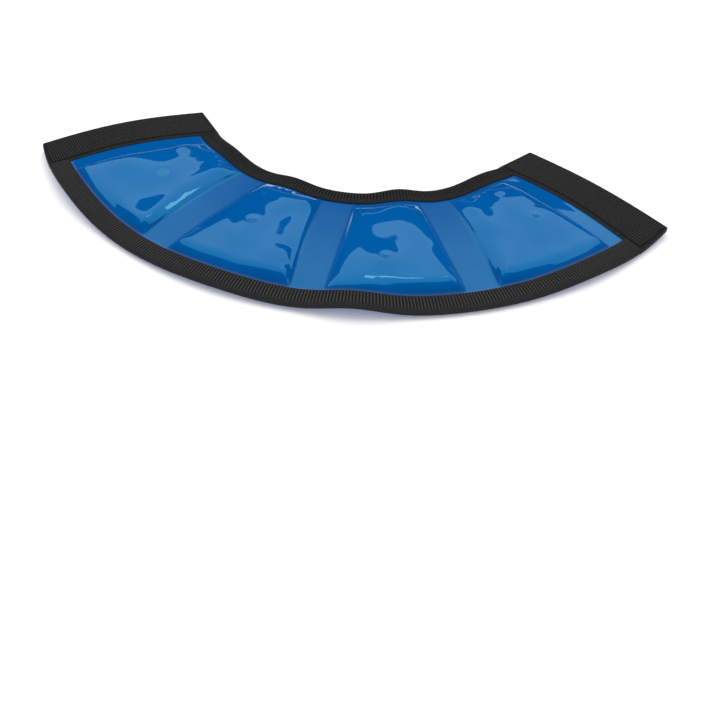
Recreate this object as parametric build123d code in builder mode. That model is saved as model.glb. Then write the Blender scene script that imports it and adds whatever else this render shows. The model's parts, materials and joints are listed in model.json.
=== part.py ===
from build123d import *
from math import cos, degrees, radians, sin, sqrt
import os

# A curved cold pack for a leg or a joint: four gel cells in a flat ring sector, hinged at the
# welded channels between them, with hook tape along both ends. It lies on its back sheet, with
# +Z up out of the clear window side and -Y towards the outer edge. Millimetres and degrees.

# outline
OUTER_RADIUS = 210.0
BAND_WIDTH = 103.0
CELL_COUNT = 4
CELL_ANGLE = 26.2

# sheets, welded and sewn in a stack on the back sheet
BACK_THICKNESS = 0.8
FILM_THICKNESS = 0.4
FOLD_WIDTH = 6.0
TAB_FOLD_WIDTH = 5.0

# gel cells
CELL_TOP = 12.0
CELL_ROUNDING = 7.0
CELL_CORNER = 11.0
CELL_TO_BINDING = 2.0
CELL_TO_FOLD_LINE = 8.0
CELL_TO_TAB_LINE = 7.0
GEL_CLEARANCE = 0.2

# filler plug on each cell: how far sideways and outwards from the cell's middle
PLUG_PLACES = [(0.0, 0.0), (-4.0, 0.0), (-4.0, 14.0), (12.0, 0.0)]
PLUG_RADIUS = 3.0
PLUG_HEIGHT = 1.4
PLUG_ROUNDING = 1.0

# folded tape along the inner and outer edges
BINDING_WIDTH = 12.0
BINDING_THICKNESS = 2.0
BINDING_ROUNDING = 0.7

# hook tape along the two straight ends
HOOK_TAPE_WIDTH = 29.0
HOOK_TAPE_THICKNESS = 1.4
HOOK_HEIGHT = 1.2
SELVEDGE = 2.6
TAB_CORNER = 4.0
HOOK_CORNER = 1.8

# thread
STITCH_LENGTH = 3.0
STITCH_WIDTH = 0.6
STITCH_HEIGHT = 0.3
STITCH_PITCH = 4.5
STITCH_INSET = 2.2
STITCH_END_GAP = 3.0

# worked out from the sizes above
INNER_RADIUS = OUTER_RADIUS - BAND_WIDTH
MIDDLE_RADIUS = (INNER_RADIUS + OUTER_RADIUS) / 2
HALF_CELL = radians(CELL_ANGLE / 2)
TAB_ANGLE = CELL_ANGLE * CELL_COUNT / 2
FILM_TOP = BACK_THICKNESS + FILM_THICKNESS
BINDING_TOP = FILM_TOP + BINDING_THICKNESS
TAPE_TOP = BACK_THICKNESS + HOOK_TAPE_THICKNESS
TAB_NEAR = TAB_FOLD_WIDTH / 2
TAB_FAR = TAB_NEAR + HOOK_TAPE_WIDTH


def tab_top_reach():
    """How far in +Y of the arc centre the tabs' rounded inner corners reach."""
    across, along = TAB_FAR - TAB_CORNER, INNER_RADIUS + TAB_CORNER
    tab = radians(TAB_ANGLE)
    return across * sin(tab) - along * cos(tab) + TAB_CORNER


# puts the middle of the outline's box on the Z axis
ARC_CENTRE_Y = (OUTER_RADIUS - tab_top_reach()) / 2


def radial_plane(angle, height=0.0):
    """A level plane on the arc centre whose -Y axis is the radial line at this angle."""
    across = (cos(radians(angle)), sin(radians(angle)), 0)
    return Plane(origin=(0, ARC_CENTRE_Y, height), x_dir=across, z_dir=(0, 0, 1))


def panel_plane(number, height=0.0):
    """The radial plane of one panel, its middle line along -Y."""
    return radial_plane((number - (CELL_COUNT + 1) / 2) * CELL_ANGLE, height)


def on_arc(radius, across):
    """The point on an arc at this distance across from the plane's middle line."""
    return (across, -sqrt(radius**2 - across**2))


def side_point(radius, side, inset):
    """Where a line set in from a panel's side, and parallel to it, meets an arc."""
    along = sqrt(radius**2 - inset**2)
    across = along * sin(HALF_CELL) - inset * cos(HALF_CELL)
    return (side * across, -along * cos(HALF_CELL) - inset * sin(HALF_CELL))


def side_insets(number, at_tab, at_fold):
    """The left and right insets of a panel, whose sides meet a tab or another panel."""
    left = at_tab if number == 1 else at_fold
    right = at_tab if number == CELL_COUNT else at_fold
    return left, right


def panel_outline(inner, outer, insets):
    """A ring sector between two radii, with straight sides set in by insets."""
    left, right = insets
    with BuildSketch() as outline:
        with BuildLine():
            ThreePointArc(side_point(outer, -1, left), (0, -outer), side_point(outer, 1, right))
            Line(side_point(outer, 1, right), side_point(inner, 1, right))
            ThreePointArc(side_point(inner, 1, right), (0, -inner), side_point(inner, -1, left))
            Line(side_point(inner, -1, left), side_point(outer, -1, left))
        make_face()
    return outline.sketch


def strip_outline(inner, outer, width):
    """A straight strip along the radial line, its ends on two arcs."""
    half = width / 2
    with BuildSketch() as outline:
        with BuildLine():
            ThreePointArc(on_arc(outer, -half), (0, -outer), on_arc(outer, half))
            Line(on_arc(outer, half), on_arc(inner, half))
            ThreePointArc(on_arc(inner, half), (0, -inner), on_arc(inner, -half))
            Line(on_arc(inner, -half), on_arc(outer, -half))
        make_face()
    return outline.sketch


def tab_outline(side, inset, corner):
    """A tab beside its fold line, square at the inner edge and on the arc at the outer one."""
    near, far = side * (TAB_NEAR + inset), side * (TAB_FAR - inset)
    inner, outer = INNER_RADIUS + inset, OUTER_RADIUS - inset
    with BuildSketch() as outline:
        with BuildLine():
            Line((near, -inner), (far, -inner))
            Line((far, -inner), on_arc(outer, far))
            ThreePointArc(on_arc(outer, far), on_arc(outer, (near + far) / 2), on_arc(outer, near))
            Line(on_arc(outer, near), (near, -inner))
        make_face()
        corners = outline.vertices().sort_by(Axis.X)
        fillet(corners[2:] if side > 0 else corners[:2], corner)
    return outline.sketch


def plate(plane, outline, thickness):
    """A flat sheet of one outline."""
    with BuildPart() as sheet:
        with BuildSketch(plane):
            add(outline)
        extrude(amount=thickness)
    return sheet.part


def cell_block(number, inset):
    """A cell's pillow, every wall but its floor set in by the same amount."""
    inner = INNER_RADIUS + BINDING_WIDTH + CELL_TO_BINDING + inset
    outer = OUTER_RADIUS - BINDING_WIDTH - CELL_TO_BINDING - inset
    insets = side_insets(number, CELL_TO_TAB_LINE + inset, CELL_TO_FOLD_LINE + inset)
    with BuildPart() as block:
        with BuildSketch(panel_plane(number, BACK_THICKNESS)) as outline:
            add(panel_outline(inner, outer, insets))
            fillet(outline.vertices(), CELL_CORNER - inset)
        extrude(amount=CELL_TOP - inset - BACK_THICKNESS)
        fillet(block.edges().group_by(Axis.Z)[-1], CELL_ROUNDING - inset)
    return block.part


def back_sheet(number):
    """The coated back of one panel, out to its edges."""
    insets = side_insets(number, TAB_FOLD_WIDTH / 2, FOLD_WIDTH / 2)
    outline = panel_outline(INNER_RADIUS, OUTER_RADIUS, insets)
    return plate(panel_plane(number), outline, BACK_THICKNESS)


def window_film(number):
    """The clear film of one panel, drawn up over its gel and welded to the back round it."""
    insets = side_insets(number, TAB_FOLD_WIDTH / 2, FOLD_WIDTH / 2)
    flange = panel_outline(INNER_RADIUS, OUTER_RADIUS, insets)
    pillow = cell_block(number, 0)
    hollow = cell_block(number, FILM_THICKNESS)
    with BuildPart() as film:
        with BuildSketch(panel_plane(number, BACK_THICKNESS)):
            add(flange)
        extrude(amount=FILM_THICKNESS)
        add(pillow)
        add(hollow, mode=Mode.SUBTRACT)
    return film.part


def gel_fill(number):
    """The gel inside one cell, just clear of the film."""
    return cell_block(number, FILM_THICKNESS + GEL_CLEARANCE)


def filler_plug(number):
    """The sealed filling port, a low round stud on the film."""
    across, outward = PLUG_PLACES[number - 1]
    with BuildPart() as plug:
        with BuildSketch(panel_plane(number, CELL_TOP)):
            with Locations((across, -MIDDLE_RADIUS - outward)):
                Circle(PLUG_RADIUS)
        extrude(amount=PLUG_HEIGHT)
        fillet(plug.edges().group_by(Axis.Z)[-1], PLUG_ROUNDING)
    return plug.part


def binding(number, inner):
    """The tape along one edge of a panel, its two long top edges rounded."""
    insets = side_insets(number, TAB_FOLD_WIDTH / 2, FOLD_WIDTH / 2)
    with BuildPart() as tape:
        with BuildSketch(panel_plane(number, FILM_TOP)):
            add(panel_outline(inner, inner + BINDING_WIDTH, insets))
        extrude(amount=BINDING_THICKNESS)
        fillet(tape.edges().group_by(Axis.Z)[-1].filter_by(GeomType.CIRCLE), BINDING_ROUNDING)
    return tape.part


def binding_stitching(number):
    """The thread along both bindings of a panel, one stitch after another."""
    from_edge = BINDING_WIDTH - STITCH_INSET
    with BuildPart() as thread:
        for radius in (INNER_RADIUS + from_edge, OUTER_RADIUS - from_edge):
            half_length = radius * HALF_CELL - FOLD_WIDTH / 2 - STITCH_END_GAP
            count = int(2 * half_length / STITCH_PITCH)
            step = degrees(STITCH_PITCH / radius)
            first = -90 - step * (count - 1) / 2
            with BuildSketch(panel_plane(number, BINDING_TOP)):
                with PolarLocations(radius, count, first, step * count):
                    Rectangle(STITCH_WIDTH, STITCH_LENGTH)
            extrude(amount=STITCH_HEIGHT)
    return thread.part


def fold_weld(angle, width):
    """The welded strip that bends at a fold, film and back in one."""
    return plate(radial_plane(angle), strip_outline(INNER_RADIUS, OUTER_RADIUS, width), FILM_TOP)


def fold_binding(angle):
    """The short lengths of both bindings that bend at a fold."""
    with BuildPart() as tape:
        with BuildSketch(radial_plane(angle, FILM_TOP)):
            add(strip_outline(INNER_RADIUS, INNER_RADIUS + BINDING_WIDTH, FOLD_WIDTH))
            add(strip_outline(OUTER_RADIUS - BINDING_WIDTH, OUTER_RADIUS, FOLD_WIDTH))
        extrude(amount=BINDING_THICKNESS)
    return tape.part


def tab_back_sheet(side):
    """The back sheet under the hook tape."""
    return plate(radial_plane(side * TAB_ANGLE), tab_outline(side, 0, TAB_CORNER), BACK_THICKNESS)


def hook_tape(side):
    """The woven base of the hook tape, from edge to edge of the tab."""
    plane = radial_plane(side * TAB_ANGLE, BACK_THICKNESS)
    return plate(plane, tab_outline(side, 0, TAB_CORNER), HOOK_TAPE_THICKNESS)


def hook_field(side):
    """The hooks, between the tape's plain selvedges."""
    plane = radial_plane(side * TAB_ANGLE, TAPE_TOP)
    return plate(plane, tab_outline(side, SELVEDGE, HOOK_CORNER), HOOK_HEIGHT)


def tab_stitching(side):
    """Two rows of thread that hold the hook tape, one along each selvedge."""
    near, far = TAB_NEAR + SELVEDGE / 2, TAB_FAR - SELVEDGE / 2
    start = INNER_RADIUS + TAB_CORNER + STITCH_END_GAP
    end = -on_arc(OUTER_RADIUS, TAB_FAR)[1] - TAB_CORNER - STITCH_END_GAP
    count = int((end - start) / STITCH_PITCH)
    with BuildPart() as thread:
        with BuildSketch(radial_plane(side * TAB_ANGLE, TAPE_TOP)):
            with Locations((side * (near + far) / 2, -(start + end) / 2)):
                with GridLocations(far - near, STITCH_PITCH, 2, count):
                    Rectangle(STITCH_WIDTH, STITCH_LENGTH)
        extrude(amount=STITCH_HEIGHT)
    return thread.part


def save(piece, name):
    """Labels a finished piece and writes it under its own name."""
    piece.label = name
    export_step(piece, f"parts/{name}.step")


os.makedirs("parts", exist_ok=True)

for number in range(1, CELL_COUNT + 1):
    save(back_sheet(number), f"back_sheet_{number}")
    save(window_film(number), f"window_film_{number}")
    save(gel_fill(number), f"gel_fill_{number}")
    save(filler_plug(number), f"filler_plug_{number}")
    save(binding(number, INNER_RADIUS), f"binding_inner_{number}")
    save(binding(number, OUTER_RADIUS - BINDING_WIDTH), f"binding_outer_{number}")
    save(binding_stitching(number), f"binding_stitching_{number}")

for number in range(1, CELL_COUNT):
    fold_angle = (number - CELL_COUNT / 2) * CELL_ANGLE
    save(fold_weld(fold_angle, FOLD_WIDTH), f"fold_weld_{number}{number + 1}")
    save(fold_binding(fold_angle), f"fold_binding_{number}{number + 1}")

for side, name in ((-1, "left"), (1, "right")):
    save(tab_back_sheet(side), f"tab_back_sheet_{name}")
    save(hook_tape(side), f"hook_tape_{name}")
    save(hook_field(side), f"hook_field_{name}")
    save(tab_stitching(side), f"tab_stitching_{name}")
    save(fold_weld(side * TAB_ANGLE, TAB_FOLD_WIDTH), f"tab_fold_{name}")
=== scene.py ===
import json
from functools import partial
from math import atan2, cos, pi, radians, sin

import bpy
import numpy as np
from mathutils import Matrix, Vector


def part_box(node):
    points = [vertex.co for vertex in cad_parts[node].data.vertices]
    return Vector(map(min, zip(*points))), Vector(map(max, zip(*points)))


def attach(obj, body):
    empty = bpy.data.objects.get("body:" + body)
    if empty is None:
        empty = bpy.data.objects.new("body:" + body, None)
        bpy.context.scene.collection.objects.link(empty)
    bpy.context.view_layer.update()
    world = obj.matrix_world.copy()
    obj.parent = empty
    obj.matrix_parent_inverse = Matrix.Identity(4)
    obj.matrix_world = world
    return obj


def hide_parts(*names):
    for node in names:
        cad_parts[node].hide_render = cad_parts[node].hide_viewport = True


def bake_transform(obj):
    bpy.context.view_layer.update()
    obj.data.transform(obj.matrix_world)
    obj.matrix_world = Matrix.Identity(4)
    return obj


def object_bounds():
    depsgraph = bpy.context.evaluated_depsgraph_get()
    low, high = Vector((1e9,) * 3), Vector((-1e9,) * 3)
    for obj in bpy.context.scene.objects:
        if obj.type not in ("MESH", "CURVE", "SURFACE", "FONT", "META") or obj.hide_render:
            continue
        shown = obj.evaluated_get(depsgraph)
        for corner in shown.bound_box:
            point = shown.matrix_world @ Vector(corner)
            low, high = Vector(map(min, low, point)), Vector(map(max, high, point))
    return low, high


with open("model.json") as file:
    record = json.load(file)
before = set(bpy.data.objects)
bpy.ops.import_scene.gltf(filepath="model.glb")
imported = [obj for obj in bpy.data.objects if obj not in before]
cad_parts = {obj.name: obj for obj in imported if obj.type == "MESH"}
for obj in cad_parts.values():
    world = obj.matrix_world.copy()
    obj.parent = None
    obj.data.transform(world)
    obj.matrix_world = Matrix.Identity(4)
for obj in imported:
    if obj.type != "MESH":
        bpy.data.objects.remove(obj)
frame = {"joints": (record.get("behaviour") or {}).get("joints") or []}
cad_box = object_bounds()

# ---------------------------------------------------------------- sizes, in metres, from the frame
MM = 0.001
JOINTS = {joint["name"]: joint for joint in frame["joints"]}


def joint_angle(name):
    """The angle of a fold line about the arc centre, 0 along -Y and positive towards +X."""
    x, y, _ = JOINTS[name]["axis"]
    return atan2(x, -y) if y < 0 else atan2(-x, y)


CELLS = (1, 2, 3, 4)
CELL_SPAN = joint_angle("fold_34") - joint_angle("fold_23")
HALF_CELL = CELL_SPAN / 2
TAB_ANGLE = 2 * CELL_SPAN
CELL_MIDDLES = [(number - 2.5) * CELL_SPAN for number in CELLS]
FOLD_X, FOLD_Y, _ = JOINTS["fold_34"]["pos_m"]
ARC_Y = FOLD_Y + FOLD_X / np.tan(CELL_SPAN)
R_OUT = ARC_Y - cad_box[0].y
R_IN = ARC_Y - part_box("fold_weld_23")[1].y
BAND = R_OUT - R_IN
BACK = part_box("back_sheet_2")[1].z
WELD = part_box("fold_weld_23")[1].z
TAPE_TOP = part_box("hook_tape_left")[1].z
HOOK_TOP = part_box("hook_field_left")[1].z
BINDING = 12 * MM
TAPE_WIDTH = 29 * MM
CHANNEL = 8 * MM          # half the width of a welded channel
TAB_NEAR = 2.5 * MM       # from a tab's fold line to its tape
TAB_FAR = TAB_NEAR + TAPE_WIDTH
TAB_FLANGE = 7.2 * MM     # from a tab's fold line back to where the end panel starts
FILM = 0.4 * MM


def to_polar(x, y):
    """Radius and angle about the arc centre."""
    return np.hypot(x, ARC_Y - y), np.arctan2(x, ARC_Y - y)


def to_plan(radius, angle):
    """X and Y of a point given by its radius and angle about the arc centre."""
    return radius * np.sin(angle), ARC_Y - radius * np.cos(angle)


def smooth(t):
    """0 to 1 with a level start and finish."""
    t = np.clip(t, 0, 1)
    return t * t * (3 - 2 * t)


# ---------------------------------------------------------------- how the pack lies
# bumps of the two edges off the table: middle and width in degrees, height in mm
INNER_BUMPS = ((-41, 8, 3.0), (-15, 7, 3.0), (17, 7, 3.8), (45, 9, 3.8))
OUTER_BUMPS = ((-47, 10, 4.6), (-14, 9, 1.4), (7, 6, 4.4), (43, 8, 1.8))
EDGE_REST = 0.5           # mm, both edges everywhere else
BAND_RISE = 3.6           # mm, the seams half way between the edges
# heights in mm of each tape's far edge at its inner end, its outer end and its arch, then the
# arch of the fold line beside it
LEFT_TAPE = (0.4, 2.2, 3.8, 1.6)
RIGHT_TAPE = (1.8, 2.0, 2.6, 1.4)
ARCH_REACH = 24 * MM


def bumps(angle, places):
    """A sum of smooth bell-shaped bumps round the arc, in metres."""
    degrees = np.degrees(angle)
    total = sum(height * np.exp(-(((degrees - middle) / width) ** 2)) for middle, width, height in places)
    return (total + EDGE_REST) * MM


def seam_height(x, y):
    """How far the flat seamed sheets stand off the table. Across the band it goes from the
    inner edge's bumps to the outer edge's, over a rise in between where the cells prop it. Beyond
    a fold line it goes on across the tape to the tape's far edge."""
    radius, angle = to_polar(x, y)
    side = np.sign(angle)
    past = np.maximum(radius * np.sin(np.abs(angle) - TAB_ANGLE), 0)
    down = np.where(past > 0, radius * np.cos(np.abs(angle) - TAB_ANGLE), radius)
    across = np.clip((down - R_IN) / BAND, 0, 1)
    arch = np.sin(pi * across)
    around = np.clip(angle, -TAB_ANGLE, TAB_ANGLE)
    lift = bumps(around, INNER_BUMPS) * (1 - across) ** 1.6 + bumps(around, OUTER_BUMPS) * across**1.6
    lift = lift + BAND_RISE * MM * arch
    inside = np.maximum(radius * np.sin(TAB_ANGLE - np.abs(angle)), 0)
    line_arch = np.where(side < 0, LEFT_TAPE[3], RIGHT_TAPE[3]) * MM
    lift = lift + line_arch * arch * np.exp(-((inside / ARCH_REACH) ** 2))
    far = np.where(
        side < 0,
        LEFT_TAPE[0] * (1 - across) + LEFT_TAPE[1] * across + LEFT_TAPE[2] * arch,
        RIGHT_TAPE[0] * (1 - across) + RIGHT_TAPE[1] * across + RIGHT_TAPE[2] * arch,
    )
    share = smooth(past / TAB_FAR)
    return lift * (1 - share) + far * MM * share


def side_insets(number, at_tab, at_fold):
    """The left and right insets of a panel, whose sides meet a tab or another panel."""
    return (at_tab if number == 1 else at_fold, at_tab if number == 4 else at_fold)


FILL = (7.6, 8.2, 8.0, 7.8)           # mm, gel thickness in each cell
FOLD_SHOULDER, TAB_SHOULDER, OUTER_SHOULDER = 11 * MM, 7 * MM, 11 * MM
INNER_SHOULDER = (17, 17, 30, 24)      # mm, in each cell
CELL_END = 8.5 * MM                    # from a tab's fold line to the gel


def shoulder(distance, width):
    """0 at a weld and 1 a width away: a small hollow at the weld, then a round shoulder."""
    t = np.clip(distance / width, 0, 1)
    return (1 - (1 - t) ** 2.4) * smooth(t / 0.3)


def cell_shape(number, x, y):
    """0 on a cell's welds and 1 over its middle: the product of four shoulders."""
    radius, angle = to_polar(x, y)
    middle = CELL_MIDDLES[number - 1]
    left, right = side_insets(number, CELL_END, CHANNEL)
    left_width, right_width = side_insets(number, TAB_SHOULDER, FOLD_SHOULDER)
    along = np.clip((radius - R_IN - BINDING) / (BAND - 2 * BINDING), 0, 1)
    lens = 0.55 + 0.75 * np.sin(pi * along**0.8)
    return (
        shoulder(radius * np.sin(angle - middle + HALF_CELL) - left, left_width * lens)
        * shoulder(radius * np.sin(middle + HALF_CELL - angle) - right, right_width * lens)
        * shoulder(radius - R_IN - BINDING + 1.5 * MM, INNER_SHOULDER[number - 1] * MM)
        * shoulder(R_OUT - BINDING + 1.0 * MM - radius, OUTER_SHOULDER)
    )


def gel_thickness(number, x, y):
    """The gel is a little deeper towards the inner edge."""
    radius, _ = to_polar(x, y)
    across = np.clip((radius - R_IN) / BAND, 0, 1)
    return FILL[number - 1] * MM * (1.08 - 0.16 * across) * cell_shape(number, x, y)


SETTLE = 0.5 * MM


def back_height(number, x, y):
    """Underside of the back sheet: flat on the table under the gel, up with the seams elsewhere."""
    hang = seam_height(x, y)
    if number:
        hang = hang - 0.6 * gel_thickness(number, x, y)
    return (hang + np.sqrt(hang**2 + SETTLE**2)) / 2


PLUGS = [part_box(f"filler_plug_{number}") for number in CELLS]
PLUG_PLACES = [((low.x + high.x) / 2, (low.y + high.y) / 2) for low, high in PLUGS]
PLUG_RADIUS = (PLUGS[0][1].x - PLUGS[0][0].x) / 2
# swellings and hollows of each cell's film: share round the cell, share from the inner to the
# outer binding, size round and across in mm, height in mm
SWELLS = {
    1: (
        (0.25, 0.22, 5.5, 5.5, 1.0),
        (0.24, 0.68, 14, 13, 1.9),
        (0.60, 0.95, 9, 7, -0.3),
    ),
    2: (
        (0.66, 0.33, 5.0, 8.0, -0.6),
        (0.78, 0.66, 6, 3.5, -0.3),
        (0.84, 0.84, 4, 3, -0.25),
        (0.2, 0.35, 9, 9, -0.5),
    ),
    3: (
        (0.52, 0.72, 17, 13, 1.1),
        (0.84, 0.50, 5, 5, 0.5),
        (0.79, 0.16, 5, 4, 0.9),
        (0.45, 0.95, 17, 2.2, 0.35),
    ),
    4: (
        (0.63, 0.13, 4.5, 4.5, 0.8),
        (0.26, 0.42, 11, 10, 0.6),
    ),
}
# waves of the film: height in mm, turn per mm of X and of Y, start per cell, then the bend of
# their crests: how far, its own turn per mm of X and of Y, and its start per cell
FILM_WAVES = (
    (0.22, 0.085, 0.10, 1.3, 0.9, 0.0, 0.05, 1.0),
    (0.13, -0.17, 0.11, 2.1, 0.8, 0.09, 0.0, 0.0),
    (0.05, 0.33, 0.25, 0.7, 1.1, 0.16, -0.1, 0.0),
)
PUCKER_HEIGHT = 0.10                   # mm
PUCKER_REACH = 5 * MM                  # off the inner binding
PUCKER_TURN, PUCKER_DRIFT = 120, 31    # per radian round the arc
STUD = ((0.34, 2.0), (-0.62, 1.05))    # swelling and dish at a plug: height in mm, size in plug radii


def film_slack(number, x, y):
    """Slack in the film: the waves and the cell's own swellings where there is gel, small puckers
    off the inner binding, and a bell and a narrower dish over the filler plug."""
    radius, angle = to_polar(x, y)
    mm_x, mm_y = x / MM, y / MM
    shape = cell_shape(number, x, y)
    waves = 0
    for height, turn_x, turn_y, start, bend, bend_x, bend_y, bend_start in FILM_WAVES:
        bent = bend * np.sin(bend_x * mm_x + bend_y * mm_y + bend_start * number)
        waves = waves + height * np.sin(turn_x * mm_x + turn_y * mm_y + start * number + bent)
    around = (angle - CELL_MIDDLES[number - 1]) / CELL_SPAN + 0.5
    across = (radius - R_IN - BINDING) / (BAND - 2 * BINDING)
    for share, depth, wide, long, height in SWELLS[number]:
        aside = (around - share) * CELL_SPAN * radius / MM / wide
        outward = (across - depth) * (BAND - 2 * BINDING) / MM / long
        waves = waves + height * np.exp(-(aside**2) - outward**2)
    off_line = np.abs(radius - R_IN - BINDING - PUCKER_REACH) / PUCKER_REACH
    drift = 2 * np.sin(angle * PUCKER_DRIFT + number)
    pucker = PUCKER_HEIGHT * np.cos(angle * PUCKER_TURN + drift) * np.exp(-off_line)
    place_x, place_y = PLUG_PLACES[number - 1]
    away = np.hypot(x - place_x, y - place_y) / PLUG_RADIUS
    stud = sum(height * np.exp(-((away / size) ** 2)) for height, size in STUD)
    return (waves * shape + pucker * np.sqrt(shape) + stud) * MM


def film_height(number, x, y):
    """Top of the film: the weld, plus the gel under it, plus its slack inside the welds."""
    slack = film_slack(number, x, y) * (cell_shape(number, x, y) > 0)
    return back_height(number, x, y) + WELD + gel_thickness(number, x, y) + slack


# ---------------------------------------------------------------- mesh making
SHARP_EDGE = radians(48)


def mesh_object(name, points, faces):
    """A smooth-shaded piece from point and face arrays, faces given corner by corner."""
    mesh = bpy.data.meshes.new(name)
    mesh.from_pydata(points.reshape(-1, 3).tolist(), [], faces.tolist())
    mesh.shade_smooth()
    mesh.set_sharp_from_angle(angle=SHARP_EDGE)
    piece = bpy.data.objects.new(name, mesh)
    bpy.context.scene.collection.objects.link(piece)
    return piece


def give(piece, name, values):
    """Stores one number at each point of a piece, for its material."""
    layer = piece.data.attributes.new(name, "FLOAT", "POINT")
    layer.data.foreach_set("value", np.asarray(values, np.float32).ravel())


def quads(index, flip=False):
    """Faces over a grid of point numbers."""
    a, b, c, d = index[:-1, :-1], index[1:, :-1], index[1:, 1:], index[:-1, 1:]
    corners = (a, d, c, b) if flip else (a, b, c, d)
    return np.stack([corner.ravel() for corner in corners], 1)


def slab(name, top, bottom):
    """A closed sheet between two grids of points, with a wall round their shared outline. The
    grids run across first and along second, so that across x along points up."""
    rows, columns = top.shape[:2]
    upper = np.arange(rows * columns).reshape(rows, columns)
    lower = upper + rows * columns
    outline = (
        (upper[:, 0], lower[:, 0]),
        (lower[:, -1], upper[:, -1]),
        (lower[0], upper[0]),
        (upper[-1], lower[-1]),
    )
    walls = [quads(np.stack(pair)) for pair in outline]
    faces = np.concatenate([quads(upper), quads(lower, flip=True), *walls])
    return mesh_object(name, np.concatenate([top.reshape(-1, 3), bottom.reshape(-1, 3)]), faces)


def tube_faces(count, around):
    """Faces of a tube of closed rings of points, each end capped by a row of faces between the
    two halves of its ring."""
    index = np.arange(count * around).reshape(count, around)
    wall = quads(np.concatenate([index, index[:, :1]], 1))
    half = around // 2
    halves = [np.stack([ring[:half], ring[half:][::-1]]) for ring in (index[0], index[-1])]
    return np.concatenate([wall, quads(halves[0]), quads(halves[1], flip=True)])


def stacked(x, y, z):
    """Points from three grids of coordinates."""
    return np.stack([x, y, z], -1)


def panel_sides(number, insets, radius):
    """The angles at a radius of a panel's two sides, each set in from its fold line."""
    middle = CELL_MIDDLES[number - 1]
    return (
        middle - HALF_CELL + np.arcsin(insets[0] / radius),
        middle + HALF_CELL - np.arcsin(insets[1] / radius),
    )


def panel_grid(number, insets, radii, across, along):
    """X and Y over a panel: straight sides set in from its fold lines, arcs between two radii."""
    share = np.linspace(0, 1, across)[:, None]
    radius = np.linspace(*radii, along)[None, :]
    first, last = panel_sides(number, insets, radius)
    return to_plan(radius + 0 * share, first * (1 - share) + last * share)


def strip_sides(line, span, radius):
    """The angles at a radius of the two sides of a strip, offset to +X of a fold line."""
    return line + np.arcsin(span[0] / radius), line + np.arcsin(span[1] / radius)


def strip_grid(line, span, radii, across, along):
    """X and Y over a straight strip beside a fold line, offset to +X of it, between two arcs."""
    offset = np.linspace(*span, across)[:, None]
    radius = np.linspace(*radii, along)[None, :]
    return to_plan(radius + 0 * offset, line + np.arcsin(offset / radius))


# ---------------------------------------------------------------- materials
FLOAT_A, FLOAT_B, FLOAT_RESULT = 2, 3, 0       # a Mix node's sockets, which share their names
COLOUR_A, COLOUR_B, COLOUR_RESULT = 6, 7, 2


def new_group(name, inputs, output, output_kind):
    """A shader node group with named sockets: its tree, what comes in and what goes out."""
    group = bpy.data.node_groups.new(name, "ShaderNodeTree")
    for socket, kind in inputs.items():
        group.interface.new_socket(socket, in_out="INPUT", socket_type=kind)
    group.interface.new_socket(output, in_out="OUTPUT", socket_type=output_kind)
    given = group.nodes.new("NodeGroupInput").outputs
    result = group.nodes.new("NodeGroupOutput").inputs[output]
    return group, given, result


def object_noise(tree, given):
    """Noise on object coordinates, at the group's Scale and Detail."""
    where = tree.nodes.new("ShaderNodeTexCoord")
    noise = tree.nodes.new("ShaderNodeTexNoise")
    tree.links.new(where.outputs["Object"], noise.inputs["Vector"])
    tree.links.new(given["Scale"], noise.inputs["Scale"])
    tree.links.new(given["Detail"], noise.inputs["Detail"])
    return noise.outputs["Fac"]


def mottle_group():
    """Two close colours, mixed by the middle part of a noise."""
    inputs = {
        "Scale": "NodeSocketFloat",
        "Detail": "NodeSocketFloat",
        "Dark": "NodeSocketColor",
        "Light": "NodeSocketColor",
    }
    group, given, result = new_group("mottle", inputs, "Color", "NodeSocketColor")
    middle = group.nodes.new("ShaderNodeMapRange")
    middle.inputs["From Min"].default_value = 0.3
    middle.inputs["From Max"].default_value = 0.7
    group.links.new(object_noise(group, given), middle.inputs["Value"])
    colour = group.nodes.new("ShaderNodeMix")
    colour.data_type = "RGBA"
    group.links.new(middle.outputs["Result"], colour.inputs["Factor"])
    group.links.new(given["Dark"], colour.inputs[COLOUR_A])
    group.links.new(given["Light"], colour.inputs[COLOUR_B])
    group.links.new(colour.outputs[COLOUR_RESULT], result)
    return group


def grain_group():
    """A fine bumpy grain, given as a normal."""
    inputs = dict.fromkeys(("Scale", "Detail", "Strength", "Distance"), "NodeSocketFloat")
    group, given, result = new_group("grain", inputs, "Normal", "NodeSocketVector")
    relief = group.nodes.new("ShaderNodeBump")
    group.links.new(object_noise(group, given), relief.inputs["Height"])
    group.links.new(given["Strength"], relief.inputs["Strength"])
    group.links.new(given["Distance"], relief.inputs["Distance"])
    group.links.new(relief.outputs["Normal"], result)
    return group


MOTTLE = mottle_group()
GRAIN = grain_group()


def new_material(name):
    """A material with one Principled shader: the material, its node tree and the shader."""
    material = bpy.data.materials.new(name)
    material.use_nodes = True
    tree = material.node_tree
    return material, tree, tree.nodes["Principled BSDF"]


def mottle(tree, scale, detail, dark, light):
    """The mottle group placed in a material, between two colours."""
    node = tree.nodes.new("ShaderNodeGroup")
    node.node_tree = MOTTLE
    node.inputs["Scale"].default_value = scale
    node.inputs["Detail"].default_value = detail
    node.inputs["Dark"].default_value = (*dark, 1)
    node.inputs["Light"].default_value = (*light, 1)
    return node.outputs["Color"]


def grain(tree, scale, detail, strength, depth):
    """The grain group placed in a material, feeding its shader's normal."""
    node = tree.nodes.new("ShaderNodeGroup")
    node.node_tree = GRAIN
    node.inputs["Scale"].default_value = scale
    node.inputs["Detail"].default_value = detail
    node.inputs["Strength"].default_value = strength
    node.inputs["Distance"].default_value = depth
    tree.links.new(node.outputs["Normal"], tree.nodes["Principled BSDF"].inputs["Normal"])


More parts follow.
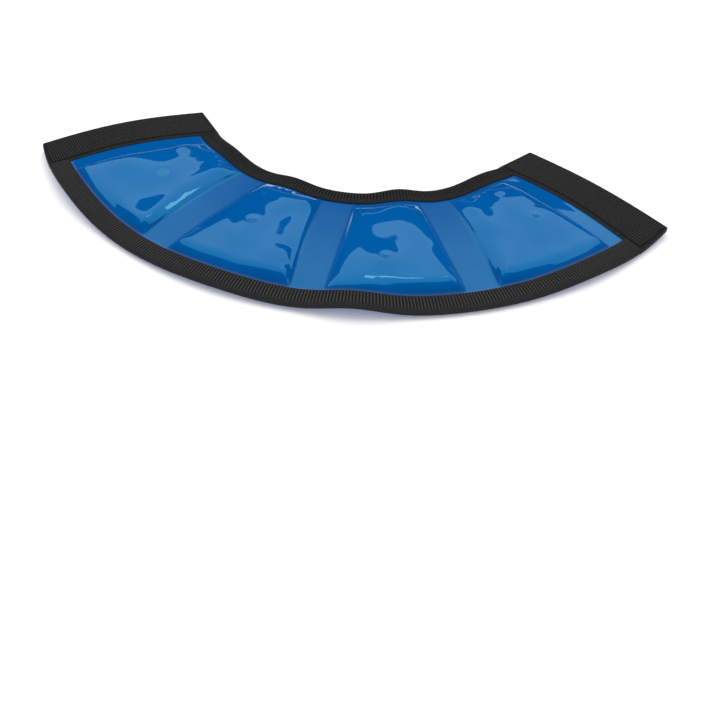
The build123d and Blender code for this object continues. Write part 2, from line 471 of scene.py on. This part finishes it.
def attribute(tree, name):
    """A number stored at the piece's points."""
    node = tree.nodes.new("ShaderNodeAttribute")
    node.attribute_name = name
    return node.outputs["Fac"]


def blend_colours(tree, mask, first, second):
    """first where the mask is 0 and second where it is 1; either may be a socket or a colour."""
    mix = tree.nodes.new("ShaderNodeMix")
    mix.data_type = "RGBA"
    tree.links.new(mask, mix.inputs["Factor"])
    for socket, colour in ((mix.inputs[COLOUR_A], first), (mix.inputs[COLOUR_B], second)):
        if isinstance(colour, tuple):
            socket.default_value = (*colour, 1)
        else:
            tree.links.new(colour, socket)
    return mix.outputs[COLOUR_RESULT]


GLOSS_LEVEL = 0.75
GLOSS_TINT = (0.13, 0.95, 1.0, 1.0)    # the gloss is bluish over the blue
CELL_ROUGHNESS, WELD_ROUGHNESS, PLUG_ROUGHNESS = 0.04, 0.36, 0.22
WELD_RIM = (0.055, 0.115, 0.41)        # the pale line beside the outer binding


def vinyl(name):
    """Clear glossy film over blue gel: a blue body with a smooth bluish gloss, duller and more
    violet where the film is welded flat."""
    material, tree, shader = new_material(name)
    body = mottle(tree, 22.0, 2.0, (0.0, 0.098, 0.370), (0.0, 0.109, 0.388))
    weld = mottle(tree, 60.0, 2.0, (0.0, 0.088, 0.356), (0.003, 0.096, 0.370))
    rim = blend_colours(tree, attribute(tree, "rim"), weld, WELD_RIM)
    colour = blend_colours(tree, attribute(tree, "weld"), body, rim)
    tree.links.new(colour, shader.inputs["Base Color"])
    dull = tree.nodes.new("ShaderNodeMapRange")
    dull.inputs["To Min"].default_value = CELL_ROUGHNESS
    dull.inputs["To Max"].default_value = WELD_ROUGHNESS
    tree.links.new(attribute(tree, "weld"), dull.inputs["Value"])
    tree.links.new(dull.outputs["Result"], shader.inputs["Roughness"])
    shader.inputs["Specular IOR Level"].default_value = GLOSS_LEVEL
    shader.inputs["Specular Tint"].default_value = GLOSS_TINT
    return material


def frosted_with_painted_highlight(name):
    """The plug's moulded face: a duller blue than the film round it, and paler, partly its own colour and
    partly a painted highlight.
    """
    material, tree, shader = new_material(name)
    # paler than the film's blue: in part a painted highlight
    colour = mottle(tree, 300.0, 2.0, (0.008, 0.125, 0.39), (0.018, 0.145, 0.42))
    tree.links.new(colour, shader.inputs["Base Color"])
    grain(tree, 1500.0, 1.0, 0.15, 0.05 * MM)
    shader.inputs["Roughness"].default_value = PLUG_ROUGHNESS
    shader.inputs["Specular IOR Level"].default_value = GLOSS_LEVEL
    shader.inputs["Specular Tint"].default_value = GLOSS_TINT
    return material


def coated_cloth(name, dark, light):
    """Plain coated cloth: an even satin colour with a very fine grain."""
    material, tree, shader = new_material(name)
    tree.links.new(mottle(tree, 90.0, 2.0, dark, light), shader.inputs["Base Color"])
    grain(tree, 2400.0, 1.0, 0.25, 0.1 * MM)
    shader.inputs["Roughness"].default_value = 0.42
    shader.inputs["Specular IOR Level"].default_value = 0.3
    return material


def woven(name, painted_groove_shade, painted_crest_light, yarn):
    """Black woven tape: painted shade in its grooves and greyer painted light on its crests, with close
    yarns of
    0.7 to 1.3 of the crests' colour. yarn is the scale of their noise."""
    material, tree, shader = new_material(name)
    darker, lighter = [tuple(share * c for c in painted_crest_light) for share in (0.7, 1.3)]
    tops = mottle(tree, yarn, 3.0, darker, lighter)
    # painted shade in the grooves and painted light on the crests, mixed by the crest mask
    colour = blend_colours(tree, attribute(tree, "painted_crest_light"), painted_groove_shade, tops)
    tree.links.new(colour, shader.inputs["Base Color"])
    grain(tree, yarn, 3.0, 0.4, 0.15 * MM)
    shader.inputs["Roughness"].default_value = 0.7
    shader.inputs["Specular IOR Level"].default_value = 0.18
    return material


film_finish = vinyl("film_over_gel")
plug_painted_highlight_finish = frosted_with_painted_highlight("frosted_plug_painted_highlight")
back_finish = coated_cloth("coated_back", (0.0, 0.10, 0.47), (0.0, 0.113, 0.51))
# each woven finish: a near-black groove colour for painted shade and a greyer crest colour for painted
# light
binding_finish = woven("ribbed_binding", (0.0024, 0.0024, 0.0024), (0.046, 0.046, 0.047), 1400.0)
tape_finish = woven("hook_tape_weave", (0.0018, 0.0018, 0.0019), (0.042, 0.042, 0.044), 1100.0)
thread_finish = woven("sewing_thread", (0.008, 0.007, 0.006), (0.036, 0.032, 0.028), 2500.0)


def dress(piece, material):
    """Gives a piece one material."""
    piece.data.materials.clear()
    piece.data.materials.append(material)


# ---------------------------------------------------------------- sheets and cells
UNDER = 4 * MM            # the film runs this far in under the bindings' inner edges
SHEET_EDGE = 0.9 * MM     # the bindings' rims stand past the sheets
TAPE_EDGE = 0.9 * MM      # a tape stands past the sheet under it
FILM_RADII = (R_IN + BINDING - UNDER, R_OUT - BINDING + UNDER)
SHEET_RADII = (R_IN + SHEET_EDGE, R_OUT - SHEET_EDGE)
SIDE_FADE, BINDING_FADE = 3.5 * MM, 3 * MM     # how far in a weld's colour fades out
BINDING_WELD = 0.8                             # how marked a weld is along the bindings
RIM_START, RIM_FADE = 0.5 * MM, 1.2 * MM
GEL_INSET = 1.5 * MM                           # from the film's outline to the gel's
PLUG_REACH = 1.25 * PLUG_RADIUS


def weld_marks(piece, x, y, from_sides):
    """Marks the flat welds for the film's colour: 1 at the sides and less along the bindings,
    gone a few mm in, and the rim right beside the outer binding."""
    radius, _ = to_polar(x, y)
    from_outer = R_OUT - BINDING - radius
    from_binding = np.minimum(radius - R_IN - BINDING, from_outer)
    at_sides = 1 - smooth(from_sides / SIDE_FADE)
    weld = np.maximum(at_sides, BINDING_WELD * (1 - smooth(from_binding / BINDING_FADE)))
    rim = 1 - smooth((from_outer - RIM_START) / RIM_FADE)
    both = np.maximum(weld, rim)
    give(piece, "weld", np.concatenate([both.ravel(), both.ravel()]))
    give(piece, "rim", np.concatenate([rim.ravel(), rim.ravel()]))


def window_film(number):
    """One panel's film from weld to weld. Its sides beside the tabs stay unmarked."""
    insets = side_insets(number, TAB_FLANGE, CHANNEL)
    x, y = panel_grid(number, insets, FILM_RADII, 170, 150)
    z = film_height(number, x, y)
    piece = slab(f"film_{number}", stacked(x, y, z), stacked(x, y, z - FILM))
    radius, angle = to_polar(x, y)
    middle = CELL_MIDDLES[number - 1]
    left = radius * np.sin(angle - middle + HALF_CELL) - insets[0]
    right = radius * np.sin(middle + HALF_CELL - angle) - insets[1]
    from_folds = {1: right, 4: left}.get(number, np.minimum(left, right))
    weld_marks(piece, x, y, from_folds)
    dress(piece, film_finish)
    return piece


def gel_fill(number):
    """The gel itself, a closed pad just under the film and just over the back sheet."""
    insets = side_insets(number, CELL_END + GEL_INSET, CHANNEL + GEL_INSET)
    radii = (R_IN + BINDING + 2 * GEL_INSET, R_OUT - BINDING - 2 * GEL_INSET)
    x, y = panel_grid(number, insets, radii, 70, 60)
    top = film_height(number, x, y) - FILM - 0.15 * MM
    bottom = np.minimum(back_height(number, x, y) + BACK + 0.05 * MM, top - 0.05 * MM)
    piece = slab(f"gel_{number}", stacked(x, y, top), stacked(x, y, bottom))
    dress(piece, film_finish)
    return piece


def back_sheet(number):
    """One panel's back sheet, out to just inside the bindings' rims."""
    insets = side_insets(number, TAB_FLANGE, CHANNEL)
    x, y = panel_grid(number, insets, SHEET_RADII, 90, 90)
    z = back_height(number, x, y)
    piece = slab(f"back_{number}", stacked(x, y, z + BACK), stacked(x, y, z))
    dress(piece, back_finish)
    return piece


def filler_plug(number):
    """The dished face of a filler plug: the film's own shape lifted by a hair, on a grid
    squeezed into a disc, fading out at its rim."""
    u, v = np.meshgrid(np.linspace(-1, 1, 25), np.linspace(-1, 1, 25), indexing="ij")
    place_x, place_y = PLUG_PLACES[number - 1]
    x = place_x + PLUG_REACH * u * np.sqrt(1 - v**2 / 2)
    y = place_y + PLUG_REACH * v * np.sqrt(1 - u**2 / 2)
    share = ((x - place_x) ** 2 + (y - place_y) ** 2) / PLUG_REACH**2
    film = film_height(number, x, y)
    top = film + 0.06 * MM * np.maximum(1 - share, 0) ** 1.4 + 0.005 * MM
    piece = slab(f"plug_{number}", stacked(x, y, top), stacked(x, y, film - 0.6 * MM))
    # dressed in the paler plug colour, in part a painted highlight
    dress(piece, plug_painted_highlight_finish)
    return piece


for number in CELLS:
    body = f"panel_{number}"
    insets = side_insets(number, TAB_FLANGE, CHANNEL)
    gel = gel_fill(number)
    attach(gel, body)
    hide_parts(f"gel_fill_{number}")
    film = window_film(number)
    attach(film, body)
    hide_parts(f"window_film_{number}")
    back = back_sheet(number)
    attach(back, body)
    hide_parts(f"back_sheet_{number}")
    plug = filler_plug(number)
    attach(plug, body)
    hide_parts(f"filler_plug_{number}")


# ---------------------------------------------------------------- bindings
RIB_PITCH = 1.72 * MM
RIB_HEIGHT = 0.42 * MM
RIB_SAMPLES = 12          # points along each rib
# round the tape's section: mm in from the edge, mm up from the sheets' underside
BINDING_SECTION = (
    (12.0, 1.55), (11.6, 2.2), (10.6, 2.62), (9.2, 2.85), (7.2, 3.0), (5.2, 3.1), (3.6, 3.12),
    (2.7, 3.08), (1.9, 2.9), (1.1, 2.55), (0.4, 1.95), (0.0, 1.25), (0.1, 0.6), (0.45, 0.15),
    (0.9, 0.12), (1.2, 0.8), (3.0, 0.95), (6.0, 1.1), (9.0, 1.2), (11.5, 1.25),
)
UPPER_FACE = 1.4 * MM     # points of the section above this are on the tape's upper face
SEAM_IN, SEAM_WIDTH = 10.2 * MM, 1.1 * MM
STITCH_FROM_EDGE, STITCH_LIFT = 9.8 * MM, 2.78 * MM
STITCH_PITCH, STITCH_LENGTH = 4.5 * MM, 3 * MM
THREAD_HALF_WIDTH, THREAD_HALF_HEIGHT = 0.32 * MM, 0.26 * MM
# painted highlight on each stitch's thickest part
THREAD_PAINTED_HIGHLIGHT = 0.8        # how light the thread is at its thickest
EDGES = {"inner": R_IN, "outer": R_OUT}


def in_from(edge, distance):
    """Radius of a place a distance in from one edge of the band."""
    return R_IN + distance if edge == "inner" else R_OUT - distance


def binding_length(name, edge, sides, samples):
    """A length of folded tape along one edge: its section carried from one side to the other,
    with round ribs and sharp grooves square to the edge on its upper face. sides gives the
    angle of each end at a radius."""
    inward, up = np.array(BINDING_SECTION).T * MM
    radius = in_from(edge, inward)[None, :]
    share = np.linspace(0, 1, samples)[:, None]
    first, last = sides(radius)
    angle = first * (1 - share) + last * share
    x, y = to_plan(radius + 0 * share, angle)
    showing = (up > UPPER_FACE) * smooth((11.9 * MM - inward) / MM)
    ribbed = showing * smooth((inward - 1.6 * MM) / (1.2 * MM))
    ridge = np.abs(np.cos(pi * angle * EDGES[edge] / RIB_PITCH)) ** 0.8
    rings = stacked(x, y, back_height(0, x, y) + up + RIB_HEIGHT * (ridge - 0.6) * ribbed)
    # painted light on the tape's plain part, fading to painted shade low on its sides and underneath;
    # painted light on the rib crests and painted shade in their grooves
    plain = 0.5 * smooth(up / (1.2 * MM)) * (1 - ribbed)
    if edge == "inner":
        seam = np.exp(-(((inward - SEAM_IN) / SEAM_WIDTH) ** 2)) * (up > UPPER_FACE)
        # the inner binding's crests get half the painted light, with an even grey band at the seam
        painted_crest_light = plain + ribbed * (0.5 * ridge**2 * (1 - seam) + 0.42 * seam)
        rings, painted_crest_light = rings[:, ::-1], painted_crest_light[:, ::-1]
    else:
        painted_crest_light = plain + ribbed * ridge**2.2
    piece = mesh_object(name, rings, tube_faces(*rings.shape[:2]))
    give(piece, "painted_crest_light", painted_crest_light)
    dress(piece, binding_finish)
    return piece


def stitches(name, x, y, lift, along_x, along_y):
    """Rounded stitches, one at each point: a lens of thread lying along a direction, seven rings
    of eight points whose size goes with the root of 1 less the square of their place."""
    lengthwise = np.linspace(-1, 1, 7)[None, :, None]
    turn = np.linspace(0, 2 * pi, 8, endpoint=False)[None, None, :]
    swell = np.sqrt(np.maximum(1 - lengthwise**2, 0)) * 0.9 + 0.1
    x, y, lift = x[:, None, None], y[:, None, None], lift[:, None, None]
    along_x, along_y = along_x[:, None, None], along_y[:, None, None]
    run = lengthwise * STITCH_LENGTH / 2
    across = THREAD_HALF_WIDTH * swell * np.cos(turn)
    height = lift + THREAD_HALF_HEIGHT * swell * np.sin(turn)
    point_x = x + along_x * run - along_y * across
    point_y = y + along_y * run + along_x * across
    points = stacked(*np.broadcast_arrays(point_x, point_y, height))
    count, rings, around = points.shape[:3]
    starts = np.arange(count)[:, None, None] * rings * around
    faces = (starts + tube_faces(rings, around)).reshape(-1, 4)
    piece = mesh_object(name, points, faces)
    # painted highlight along each stitch's middle, fading to painted shade at its ends
    give(piece, "painted_crest_light", np.broadcast_to(swell * THREAD_PAINTED_HIGHLIGHT, points.shape[:3]))
    dress(piece, thread_finish)
    return piece


def joined(runs):
    """The runs' columns, each put end to end."""
    return [np.concatenate(column) for column in zip(*runs)]


def binding_stitches(name, sides):
    """Stitches along both bindings. sides gives the angle of each end at a radius."""
    runs = []
    for edge, edge_radius in EDGES.items():
        first, last = sides(edge_radius)
        radius = in_from(edge, STITCH_FROM_EDGE)
        count = max(int((last - first) * radius / STITCH_PITCH), 1)
        angle = first + (np.arange(count) + 0.5) * (last - first) / count
        x, y = to_plan(radius, angle)
        runs.append((x, y, back_height(0, x, y) + STITCH_LIFT, np.cos(angle), np.sin(angle)))
    return stitches(name, *joined(runs))


def across_fold(piece, line, span, low_body, high_body):
    """Bakes a piece's place into its points."""
    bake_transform(piece)


for number in CELLS:
    insets = side_insets(number, TAB_FLANGE, CHANNEL)
    sides = partial(panel_sides, number, insets)
    for edge, radius in EDGES.items():
        samples = int(radius * CELL_SPAN / RIB_PITCH * RIB_SAMPLES)
        piece = binding_length(f"{edge}_binding_{number}", edge, sides, samples)
        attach(piece, f"panel_{number}")
        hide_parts(f"binding_{edge}_{number}")
    thread = binding_stitches(f"binding_stitches_{number}", sides)
    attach(thread, f"panel_{number}")
    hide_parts(f"binding_stitching_{number}")


# ---------------------------------------------------------------- folds
def weld_strip(name, line, span, bodies, across, from_sides):
    """A flat weld: film finish on top, back finish elsewhere."""
    x, y = strip_grid(line, span, SHEET_RADII, across, 120)
    z = back_height(0, x, y)
    piece = slab(name, stacked(x, y, z + WELD), stacked(x, y, z))
    weld_marks(piece, x, y, from_sides + 0 * x)
    piece.data.materials.append(film_finish)
    piece.data.materials.append(back_finish)
    finish = np.ones(len(piece.data.polygons), np.int32)
    finish[:(x.shape[0] - 1) * (x.shape[1] - 1)] = 0
    piece.data.polygons.foreach_set("material_index", finish)
    across_fold(piece, line, span, *bodies)
    return piece


FOLD_SPAN = (-CHANNEL, CHANNEL)
for number, name in ((1, "12"), (2, "23"), (3, "34")):
    line = (number - 2) * CELL_SPAN
    bodies = (f"panel_{number}", f"panel_{number + 1}")
    weld = weld_strip(f"weld_{name}", line, FOLD_SPAN, bodies, 33, 0)
    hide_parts(f"fold_weld_{name}")
    sides = partial(strip_sides, line, FOLD_SPAN)
    samples = int(2 * CHANNEL / RIB_PITCH * RIB_SAMPLES)
    for edge in EDGES:
        piece = binding_length(f"{edge}_binding_{name}", edge, sides, samples)
        across_fold(piece, line, FOLD_SPAN, *bodies)
        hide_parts(f"fold_binding_{name}")
    thread = binding_stitches(f"fold_stitches_{name}", sides)
    across_fold(thread, line, FOLD_SPAN, *bodies)


# ---------------------------------------------------------------- end tabs
TAPE_CORNER = 2.2 * MM
HOOK_PITCH = 1.35 * MM    # between rows of hooks along the tape
HOOK_SPACING = 1.6 * MM   # between hooks along a row
HOOK_SLANT = 0.35         # how far each row is shifted from the last
SELVEDGE = 2.4 * MM       # the tape's plain edge
PILE = 0.4 * MM           # how deep the hooks' shape is
TAPE_RIB = 0.08 * MM
UNMARKED = 1.0            # so far from a weld, in metres, that its colour doesn't show


def tab_plan(side, offset, down):
    """X and Y of a point on a tab: offset out from its fold line and down along it from the
    arc centre."""
    angle = side * TAB_ANGLE
    x = side * offset * cos(angle) + down * sin(angle)
    y = side * offset * sin(angle) - down * cos(angle) + ARC_Y
    return x, y


def tape_grid(side, inset, across, along):
    """X, Y and the distance in from the outline over a tab: square at the inner end, on the arc
    at the outer end, with its two far corners rounded. Also the two directions' own lengths."""
    offset = np.linspace(TAB_NEAR + inset, TAB_FAR - inset, across)[:, None]
    share = np.linspace(0, 1, along)[None, :]
    corner = max(TAPE_CORNER - inset, 0.5 * MM)
    past = np.maximum(offset - (TAB_FAR - inset - corner), 0)
    cut = corner - np.sqrt(np.maximum(corner**2 - past**2, 0))
    start = R_IN + inset + cut
    end = np.sqrt((R_OUT - inset) ** 2 - offset**2) - cut
    down = start * (1 - share) + end * share
    offset = offset + 0 * share
    if side < 0:
        offset, down = offset[::-1], down[::-1]
    x, y = tab_plan(side, offset, down)
    long_edges = np.minimum(offset - TAB_NEAR - inset, TAB_FAR - inset - offset)
    ends = np.minimum(down - R_IN - inset, R_OUT - inset - np.hypot(down, offset))
    return x, y, np.maximum(np.minimum(long_edges, ends), 0), offset, down


def rounded(edge, radius):
    """How full a sheet's thickness is near its rounded edge, from 0.2 at the edge to 1."""
    t = np.clip(edge / radius, 0, 1)
    return 0.2 + 0.8 * np.sqrt(1 - (1 - t) ** 2)


def tab_back(name, side):
    """The sheet under a tape."""
    x, y, *_ = tape_grid(side, TAPE_EDGE, 40, 110)
    z = back_height(0, x, y)
    piece = slab(name, stacked(x, y, z + BACK), stacked(x, y, z))
    dress(piece, back_finish)
    return piece


def tape_base(name, side):
    """The woven base of a tape: round edges, and a low rib at each row of hooks."""
    x, y, edge, _, down = tape_grid(side, 0.0, 60, 420)
    z = back_height(0, x, y)
    full = rounded(edge, 1.3 * MM)
    middle = (BACK + TAPE_TOP) / 2
    half = (TAPE_TOP - BACK) / 2
    row = np.abs(np.cos(pi * down / HOOK_PITCH))
    rib = TAPE_RIB * (row - 0.5) * smooth(edge / MM - 0.6)
    top = z + middle + half * full + rib
    bottom = z + BACK - 0.6 * MM * (1 - full)
    piece = slab(name, stacked(x, y, top), stacked(x, y, bottom))
    # painted light on each row's rib, lighter towards the tape's edges; the underside a flat 0.3
    painted_crest_light = (0.8 - 0.5 * smooth(edge / (1.2 * MM))) * (0.6 + 0.4 * row)
    give(piece, "painted_crest_light", np.concatenate([painted_crest_light.ravel(), 0.3 + 0 * painted_crest_light.ravel()]))
    dress(piece, tape_finish)
    return piece


def hook_field(name, side):
    """Rows of hooks between the selvedges: a ridge along each row times a slanting wave."""
    x, y, edge, offset, down = tape_grid(side, SELVEDGE, 112, 420)
    rows = np.abs(np.cos(pi * down / HOOK_PITCH)) ** 0.8
    columns = np.abs(np.cos(pi * (offset + HOOK_SLANT * down) / HOOK_SPACING))
    hooks = 0.6 + 0.4 * columns
    base = back_height(0, x, y) + TAPE_TOP - 0.1 * MM
    pile = PILE * (rows * hooks - 1) * smooth(edge / MM)
    top = base + (HOOK_TOP - TAPE_TOP) * 0.7 * rounded(edge, 0.8 * MM) + pile
    piece = slab(name, stacked(x, y, top), stacked(x, y, base - 0.5 * MM))
    # painted light on the tops of the hooks and painted shade between the rows; the underside gets none
    painted_crest_light = rows**2.2 * hooks
    give(piece, "painted_crest_light", np.concatenate([painted_crest_light.ravel(), 0 * painted_crest_light.ravel()]))
    dress(piece, tape_finish)
    return piece


def tape_stitches(name, side):
    """Two rows of stitches along a tape, on its selvedges."""
    runs = []
    angle = side * TAB_ANGLE
    for offset in (TAB_NEAR + 1.5 * MM, TAB_FAR - 1.5 * MM):
        end = np.sqrt(R_OUT**2 - offset**2) - 5 * MM
        down = np.arange(R_IN + 6 * MM, end, STITCH_PITCH)
        x, y = tab_plan(side, offset, down)
        lift = back_height(0, x, y) + TAPE_TOP
        runs.append((x, y, lift, 0 * x + sin(angle), 0 * x - cos(angle)))
    return stitches(name, *joined(runs))


for side, name, panel in ((-1, "left", 1), (1, "right", 4)):
    tab = f"tab_{name}"
    under = tab_back(f"tab_back_{name}", side)
    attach(under, tab)
    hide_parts(f"tab_back_sheet_{name}")
    tape = tape_base(f"tape_{name}", side)
    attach(tape, tab)
    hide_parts(f"hook_tape_{name}")
    field = hook_field(f"hooks_{name}", side)
    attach(field, tab)
    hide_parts(f"hook_field_{name}")
    thread = tape_stitches(f"tape_stitches_{name}", side)
    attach(thread, tab)
    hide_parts(f"tab_stitching_{name}")
    # the strip beside the tape, and the bindings over it
    line = side * TAB_ANGLE
    near = TAB_NEAR + TAPE_EDGE
    span = (-near, TAB_FLANGE) if side < 0 else (-TAB_FLANGE, near)
    bodies = (tab, f"panel_{panel}") if side < 0 else (f"panel_{panel}", tab)
    strip = weld_strip(f"tab_weld_{name}", line, span, bodies, 24, UNMARKED)
    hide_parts(f"tab_fold_{name}")
    sides = partial(strip_sides, line, span)
    samples = int((near + TAB_FLANGE) / RIB_PITCH * RIB_SAMPLES)
    for edge in EDGES:
        piece = binding_length(f"{edge}_binding_tab_{name}", edge, sides, samples)
        across_fold(piece, line, span, *bodies)


# ---------------------------------------------------------------- studio
FLOOR_HALF, FLOOR_DROP = 3, 0.4 * MM
LIGHT_TARGET = Vector((0, -0.03, 0))
WHITE = (1, 1, 1)
WARM = (1.0, 0.60, 0.58)               # so that its highlights on the blue gloss look white
# azimuth from +Y towards +X, elevation and distance from the target, the lamp's width and
# height, watts, roll about its own axis, colour; in degrees and metres
LIGHTS = {
    "back_softbox": (-6, 62, 1.3, (2.4, 1.37), 12.0, 5, WHITE),
    "overhead_strip": (4, 58, 1.25, (0.2, 0.12), 0.45, 0, WARM),
    "low_back_strip": (-5, 14, 1.5, (0.8, 0.04), 0.08, 0, WHITE),
}
WORLD_LIGHT, WORLD_GLOSS, WORLD_SEEN = 0.72, 0.005, 1.0


def pale_floor():
    """A plain square floor just under the object."""
    corners = [(-1, -1), (1, -1), (1, 1), (-1, 1)]
    points = [(FLOOR_HALF * x, FLOOR_HALF * y, -FLOOR_DROP) for x, y in corners]
    mesh = bpy.data.meshes.new("floor")
    mesh.from_pydata(points, [], [(0, 1, 2, 3)])
    piece = bpy.data.objects.new("floor", mesh)
    bpy.context.scene.collection.objects.link(piece)
    material, _, shader = new_material("pale_floor")
    shader.inputs["Base Color"].default_value = (0.97, 0.97, 0.97, 1)
    shader.inputs["Roughness"].default_value = 0.9
    shader.inputs["Emission Color"].default_value = (1, 1, 1, 1)
    shader.inputs["Emission Strength"].default_value = 0.12
    dress(piece, material)
    return piece


def softbox(name, azimuth, elevation, distance, size, power, roll, colour):
    """A rectangular area light facing the target, turned about its own axis by roll."""
    turn, rise = radians(azimuth), radians(elevation)
    way = Vector((sin(turn) * cos(rise), cos(turn) * cos(rise), sin(rise)))
    where = LIGHT_TARGET + distance * way
    light = bpy.data.lights.new(name, "AREA")
    light.shape = "RECTANGLE"
    light.size, light.size_y = size
    light.energy = power
    light.color = colour
    lamp = bpy.data.objects.new(name, light)
    facing = (LIGHT_TARGET - where).to_track_quat("-Z", "Y").to_matrix().to_4x4()
    lamp.matrix_world = Matrix.Translation(where) @ facing @ Matrix.Rotation(radians(roll), 4, "Z")
    bpy.context.scene.collection.objects.link(lamp)


def white_world():
    """White behind the object, softer as a light and nearly dark in reflections."""
    world = bpy.data.worlds.new("studio")
    world.use_nodes = True
    tree = world.node_tree
    path = tree.nodes.new("ShaderNodeLightPath")
    lighting = tree.nodes.new("ShaderNodeMix")
    lighting.inputs[FLOAT_A].default_value = WORLD_LIGHT
    lighting.inputs[FLOAT_B].default_value = WORLD_GLOSS
    tree.links.new(path.outputs["Is Glossy Ray"], lighting.inputs["Factor"])
    seen = tree.nodes.new("ShaderNodeMix")
    seen.inputs[FLOAT_B].default_value = WORLD_SEEN
    tree.links.new(lighting.outputs[FLOAT_RESULT], seen.inputs[FLOAT_A])
    tree.links.new(path.outputs["Is Camera Ray"], seen.inputs["Factor"])
    background = tree.nodes["Background"]
    background.inputs["Color"].default_value = (1, 1, 1, 1)
    tree.links.new(seen.outputs[FLOAT_RESULT], background.inputs["Strength"])
    return world


floor = pale_floor()
for name, light in LIGHTS.items():
    softbox(name, *light)
bpy.context.scene.world = white_world()
bpy.context.scene.view_settings.view_transform = "Standard"

# ---------------------------------------------------------------- camera
CAMERA_AZIMUTH, CAMERA_ELEVATION, CAMERA_ROLL = radians(8.5), radians(44.7), radians(2.8)
CAMERA_DISTANCE = 2.013 * R_OUT
CAMERA_TARGET = Vector((0.1645 * R_OUT, ARC_Y - 1.129 * R_OUT, 0))
back = Vector((sin(CAMERA_AZIMUTH) * cos(CAMERA_ELEVATION),
               -cos(CAMERA_AZIMUTH) * cos(CAMERA_ELEVATION), sin(CAMERA_ELEVATION)))
level = Vector((cos(CAMERA_AZIMUTH), sin(CAMERA_AZIMUTH), 0))
upright = back.cross(level)
right = level * cos(CAMERA_ROLL) + upright * sin(CAMERA_ROLL)
up = upright * cos(CAMERA_ROLL) - level * sin(CAMERA_ROLL)
camera_data = bpy.data.cameras.new("camera")
camera_data.lens, camera_data.sensor_width = 45, 36
camera = bpy.data.objects.new("camera", camera_data)
place = Matrix((right, up, back)).transposed().to_4x4()
place.translation = CAMERA_TARGET + back * CAMERA_DISTANCE
camera.matrix_world = place
bpy.context.scene.collection.objects.link(camera)
bpy.context.scene.camera = camera
